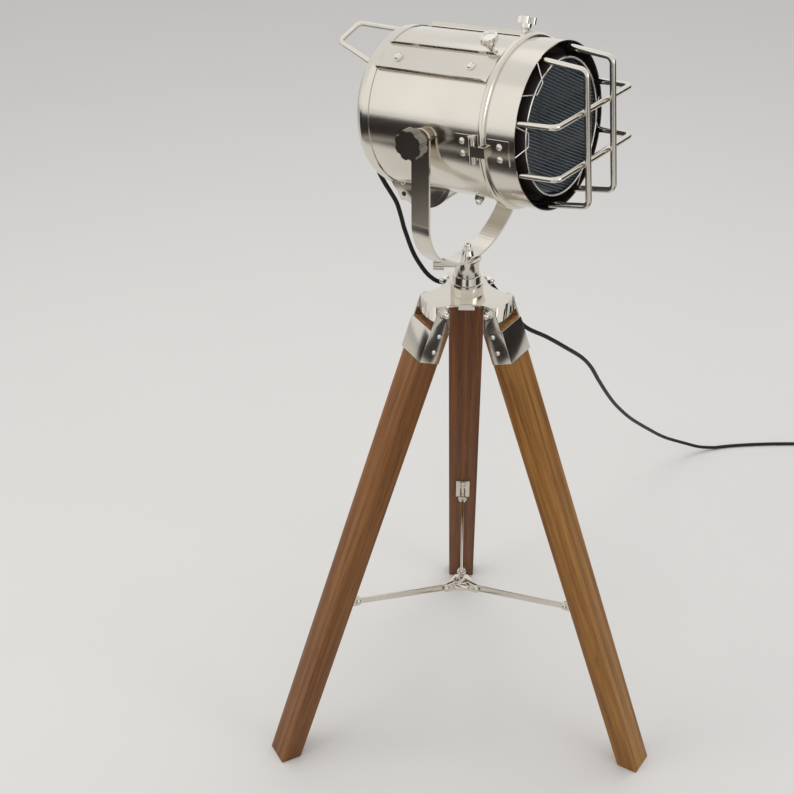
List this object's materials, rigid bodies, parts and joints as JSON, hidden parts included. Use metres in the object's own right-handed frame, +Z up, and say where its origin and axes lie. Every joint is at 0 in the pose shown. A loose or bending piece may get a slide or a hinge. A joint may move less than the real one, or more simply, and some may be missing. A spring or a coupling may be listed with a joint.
{
  "type": "tripod spotlight floor lamp",
  "caption": "Folding wooden tripod floor lamp with a nickel drum spotlight in a U yoke, a hinged hood with a ribbed lens and a wire guard, and a corded plug.",
  "frame": {"origin": "on the floor, under the axis of the post", "axes": "+Z up; the rear leg points along +Y; the head at rest looks to +X and -Y"},
  "size_m": [1.2502, 0.9279, 1.1095],
  "materials": {
    "nickel": "polished warm nickel plate with faint brushing",
    "dark_nickel": "darker nickel plate",
    "teak": "oiled teak, satin",
    "rear_teak": "darker oiled teak, satin",
    "black_cord": "matt black cord and fittings",
    "glass": "dark blue ribbed glass",
    "hood_inside": "dark brown paint",
    "reflector": "bright reflector",
    "bulb": "frosted bulb",
    "holder": "dark moulded lamp holder"
  },
  "bodies": {
    "stand": {"hub_plate": "nickel", "post": "nickel", "cord_clip": "dark_nickel", "cord_free": "black_cord", "cord_rest": "black_cord", "cord_coil": "black_cord", "cord_tie": "black_cord", "plug": "black_cord"},
    "left_leg": {"left_leg": "teak", "left_plates": "nickel", "left_bolts": "nickel", "left_bracket": "nickel"},
    "right_leg": {"right_leg": "teak", "right_plates": "nickel", "right_bolts": "nickel", "right_bracket": "nickel"},
    "rear_leg": {"rear_leg": "rear_teak", "rear_plates": "nickel", "rear_bolts": "nickel", "rear_bracket": "nickel"},
    "left_arm": {"left_arm": "nickel"},
    "right_arm": {"right_arm": "nickel"},
    "rear_arm": {"rear_arm": "nickel"},
    "brace_hub": {"brace_hub": "nickel", "brace_screws": "nickel"},
    "pan_screw": {"pan_screw": "nickel"},
    "yoke": {"yoke": "nickel", "spindle": "dark_nickel", "yoke_nut": "nickel", "yoke_stop": "nickel", "cord_lower": "black_cord"},
    "head": {"drum": "nickel", "rear_cap": "nickel", "rear_handle": "nickel", "near_rail": "nickel", "far_rail": "nickel", "rail_bolts": "nickel", "near_top_screw": "nickel", "far_top_screw": "nickel", "housing": "nickel", "under_nut": "nickel", "pivot_bolts": "nickel", "reflector": "reflector", "lamp_holder": "holder", "bulb": "bulb", "body_leaf": "nickel", "hinge_pin": "nickel", "gland": "black_cord", "cord_upper": "black_cord"},
    "near_knob": {"near_knob": "dark_nickel"},
    "far_knob": {"far_knob": "dark_nickel"},
    "hood": {"hood_leaf": "nickel", "hood": "nickel", "bead": "nickel", "lens_seat": "hood_inside", "lens": "glass", "lens_clips": "nickel", "guard_uprights": "nickel", "guard_levels": "nickel"}
  },
  "joints": [
    {"name": "left_leg_fold", "type": "hinge", "parent": "stand", "child": "left_leg", "pos_m": [-0.04417, -0.0255, 0.716], "axis": [0.5, -0.866, 0], "range_deg": [0, 14]},
    {"name": "right_leg_fold", "type": "hinge", "parent": "stand", "child": "right_leg", "pos_m": [0.04417, -0.0255, 0.716], "axis": [0.5, 0.866, 0], "range_deg": [0, 14]},
    {"name": "rear_leg_fold", "type": "hinge", "parent": "stand", "child": "rear_leg", "pos_m": [0, 0.051, 0.716], "axis": [-1, 0, 0], "range_deg": [0, 14]},
    {"name": "left_arm_fold", "type": "hinge", "parent": "left_leg", "child": "left_arm", "pos_m": [-0.15521, -0.08961, 0.24905], "axis": [0.5, -0.866, 0], "range_deg": [-79.4, 0]},
    {"name": "right_arm_fold", "type": "hinge", "parent": "right_leg", "child": "right_arm", "pos_m": [0.15521, -0.08961, 0.24905], "axis": [0.5, 0.866, 0], "range_deg": [-79.4, 0]},
    {"name": "rear_arm_fold", "type": "hinge", "parent": "rear_leg", "child": "rear_arm", "pos_m": [0, 0.17922, 0.24905], "axis": [-1, 0, 0], "range_deg": [-79.4, 0]},
    {"name": "brace_slide", "type": "slide", "parent": "stand", "child": "brace_hub", "axis": [0, 0, 1], "range_m": [-0.1376, 0]},
    {"name": "pan", "type": "hinge", "parent": "stand", "child": "yoke", "pos_m": [0, 0, 0.78005], "axis": [0, 0, 1], "range_deg": [-120, 120], "deforming": ["cord_lower"]},
    {"name": "pan_screw_turn", "type": "hinge", "parent": "stand", "child": "pan_screw", "pos_m": [-0.0385, 0, 0.765], "axis": [-1, 0, 0], "range_deg": [-15, 0]},
    {"name": "tilt", "type": "hinge", "parent": "yoke", "child": "head", "pos_m": [0, 0, 0.98205], "axis": [-0.5548, -0.832, 0], "range_deg": [-55, 60], "deforming": ["cord_upper"]},
    {"name": "near_knob_turn", "type": "hinge", "parent": "head", "child": "near_knob", "pos_m": [-0.07102, -0.10649, 0.98205], "axis": [-0.5548, -0.832, 0], "range_deg": [-180, 180]},
    {"name": "far_knob_turn", "type": "hinge", "parent": "head", "child": "far_knob", "pos_m": [0.07102, 0.10649, 0.98205], "axis": [0.5548, 0.832, 0], "range_deg": [-180, 180]},
    {"name": "hood_hinge", "type": "hinge", "parent": "head", "child": "hood", "pos_m": [0.00322, -0.13316, 0.9846], "axis": [0.0711, -0.0474, -0.9963], "range_deg": [0, 95]}
  ],
  "couplings": [
    {"joint": "right_leg_fold", "follows": "left_leg_fold", "ratio": 1},
    {"joint": "rear_leg_fold", "follows": "left_leg_fold", "ratio": 1},
    {"joint": "left_arm_fold", "follows": "left_leg_fold", "ratio": -5.6383},
    {"joint": "right_arm_fold", "follows": "left_leg_fold", "ratio": -5.6383},
    {"joint": "rear_arm_fold", "follows": "left_leg_fold", "ratio": -5.6383},
    {"joint": "brace_slide", "follows": "left_leg_fold", "m_per_rad": -0.5589}
  ]
}
